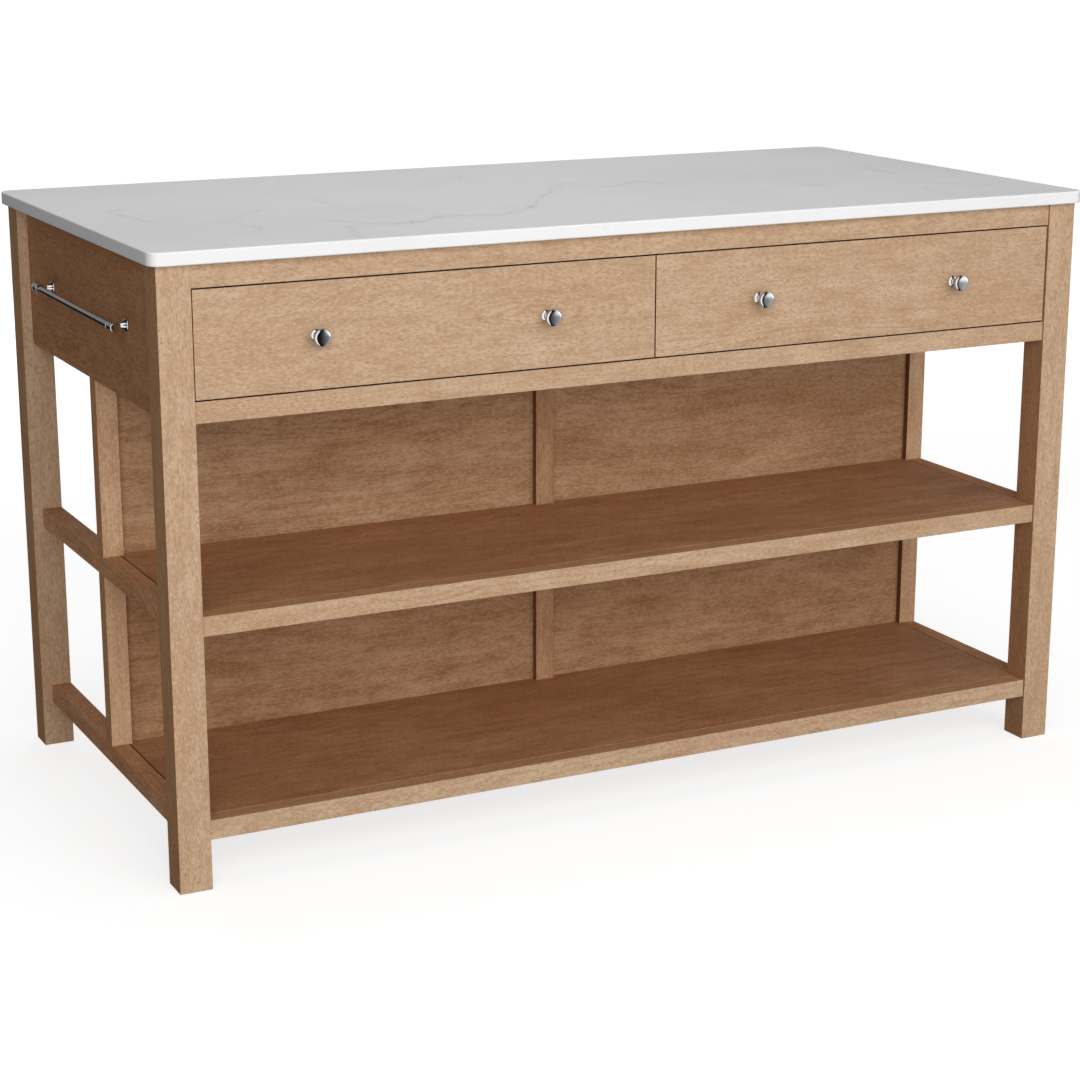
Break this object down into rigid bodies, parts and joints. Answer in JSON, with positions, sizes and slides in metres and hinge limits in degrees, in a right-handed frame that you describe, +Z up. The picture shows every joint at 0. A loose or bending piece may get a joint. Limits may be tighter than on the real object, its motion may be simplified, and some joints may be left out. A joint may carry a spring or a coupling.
{
  "type": "kitchen island unit",
  "caption": "Free-standing kitchen island with a stone worktop, timber frame, drawers with round knobs, open shelves, a panelled back, a knee space and a towel bar on one end.",
  "frame": {"origin": "on the floor, in the middle of the four legs", "axes": "+Z up; +X along the length, towards the right end seen from the drawers; +Y from the drawers towards the knee space"},
  "size_m": [1.5277, 0.773, 0.903],
  "materials": {
    "stone": "honed white slab with soft grey veins",
    "timber": "light brown stained timber, matt lacquer",
    "box_timber": "pale clear lacquered timber",
    "plywood": "pale plywood, clear lacquer",
    "slide_steel": "bright zinc plated rolled steel",
    "polished_nickel": "polished dark nickel"
  },
  "bodies": {
    "frame": {"worktop": "stone", "leg_front_left": "timber", "leg_front_right": "timber", "leg_back_left": "timber", "leg_back_right": "timber", "end_apron_left": "timber", "end_apron_right": "timber", "back_apron": "timber", "front_top_rail": "timber", "front_lower_rail": "timber", "drawer_back_board": "timber", "drawer_divider": "box_timber", "bottom_shelf_front_rail": "timber", "bottom_shelf_left_rail": "timber", "bottom_shelf_right_rail": "timber", "bottom_shelf_panel": "timber", "mid_shelf_front_rail": "timber", "mid_shelf_left_rail": "timber", "mid_shelf_right_rail": "timber", "mid_shelf_panel": "timber", "lower_post_left": "timber", "lower_post_centre": "timber", "lower_post_right": "timber", "lower_back_panel_left": "timber", "lower_back_panel_right": "timber", "upper_post_left": "timber", "upper_post_centre": "timber", "upper_post_right": "timber", "upper_back_panel_left": "timber", "upper_back_panel_right": "timber", "slide_left_outer_cabinet_member": "slide_steel", "slide_left_inner_cabinet_member": "slide_steel", "slide_right_outer_cabinet_member": "slide_steel", "slide_right_inner_cabinet_member": "slide_steel", "towel_bracket_front": "polished_nickel", "towel_bracket_back": "polished_nickel", "towel_rod": "polished_nickel"},
    "drawer_left": {"drawer_left_front": "timber", "drawer_left_knob_outer": "polished_nickel", "drawer_left_knob_inner": "polished_nickel", "drawer_left_outer_side": "box_timber", "drawer_left_inner_side": "box_timber", "drawer_left_back": "box_timber", "drawer_left_bottom": "plywood", "slide_left_outer_drawer_member": "slide_steel", "slide_left_inner_drawer_member": "slide_steel"},
    "drawer_right": {"drawer_right_front": "timber", "drawer_right_knob_outer": "polished_nickel", "drawer_right_knob_inner": "polished_nickel", "drawer_right_outer_side": "box_timber", "drawer_right_inner_side": "box_timber", "drawer_right_back": "box_timber", "drawer_right_bottom": "plywood", "slide_right_outer_drawer_member": "slide_steel", "slide_right_inner_drawer_member": "slide_steel"},
    "left_slide_middles": {"slide_left_outer_middle_member": "slide_steel", "slide_left_inner_middle_member": "slide_steel"},
    "right_slide_middles": {"slide_right_outer_middle_member": "slide_steel", "slide_right_inner_middle_member": "slide_steel"}
  },
  "joints": [
    {"name": "drawer_left_pull", "type": "slide", "parent": "frame", "child": "drawer_left", "axis": [0, -1, 0], "range_m": [0, 0.3]},
    {"name": "drawer_right_pull", "type": "slide", "parent": "frame", "child": "drawer_right", "axis": [0, -1, 0], "range_m": [0, 0.3]},
    {"name": "left_slide_middles_travel", "type": "slide", "parent": "frame", "child": "left_slide_middles", "axis": [0, -1, 0], "range_m": [0, 0.15]},
    {"name": "right_slide_middles_travel", "type": "slide", "parent": "frame", "child": "right_slide_middles", "axis": [0, -1, 0], "range_m": [0, 0.15]}
  ],
  "couplings": [
    {"joint": "left_slide_middles_travel", "follows": "drawer_left_pull", "ratio": 0.5},
    {"joint": "right_slide_middles_travel", "follows": "drawer_right_pull", "ratio": 0.5}
  ]
}
